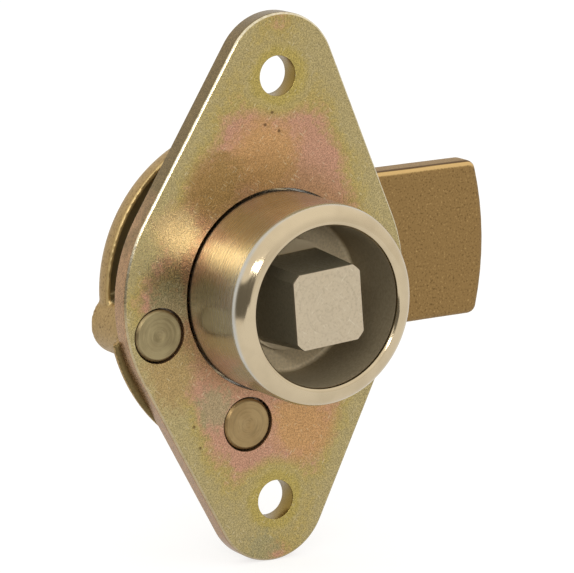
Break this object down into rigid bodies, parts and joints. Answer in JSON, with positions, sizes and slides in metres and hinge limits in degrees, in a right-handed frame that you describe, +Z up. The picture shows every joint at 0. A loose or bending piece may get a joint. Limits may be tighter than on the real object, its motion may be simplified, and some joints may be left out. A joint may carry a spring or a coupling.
{
  "type": "quarter-turn latch",
  "caption": "Quarter-turn latch: a lozenge plate carries a round nozzle with a male square inside, and a square box key turns it to swing a flat brass tongue behind the plate.",
  "frame": {"origin": "on the spindle axis, at the front face of the plate that lies against the door, midway between the fixing holes", "axes": "-Y along the spindle axis to the front where the key goes in, +X along the tongue at rest, +Z up along the line of the fixing holes"},
  "size_m": [0.0617, 0.0326, 0.0698],
  "materials": {
    "passivated_plate": "zinc plated steel with an iridescent yellow passivated film, lightly scuffed",
    "bright_nozzle": "turned steel, bright nickel plated",
    "spindle_steel": "milled steel",
    "cast_brass": "cast brass, barrelled, dull with brighter edges",
    "rivet_steel": "turned steel, passivated",
    "detent_steel": "plain steel",
    "spring_steel": "blued spring steel",
    "tongue_brass": "cast brass, fine sandy skin with brighter worn edges",
    "washer_steel": "plain steel"
  },
  "bodies": {
    "housing": {"back_plate": "passivated_plate", "nozzle": "bright_nozzle", "rear_case": "cast_brass", "case_rivets": "rivet_steel", "detent_spring": "spring_steel"},
    "rotor": {"spindle": "spindle_steel", "detent_block": "detent_steel", "tongue": "tongue_brass", "retaining_washer": "washer_steel"}
  },
  "joints": [
    {"name": "spindle_turn", "type": "hinge", "parent": "housing", "child": "rotor", "pos_m": [0, 0, 0], "axis": [0, -1, 0], "range_deg": [0, 90], "deforming": ["detent_spring"]}
  ]
}
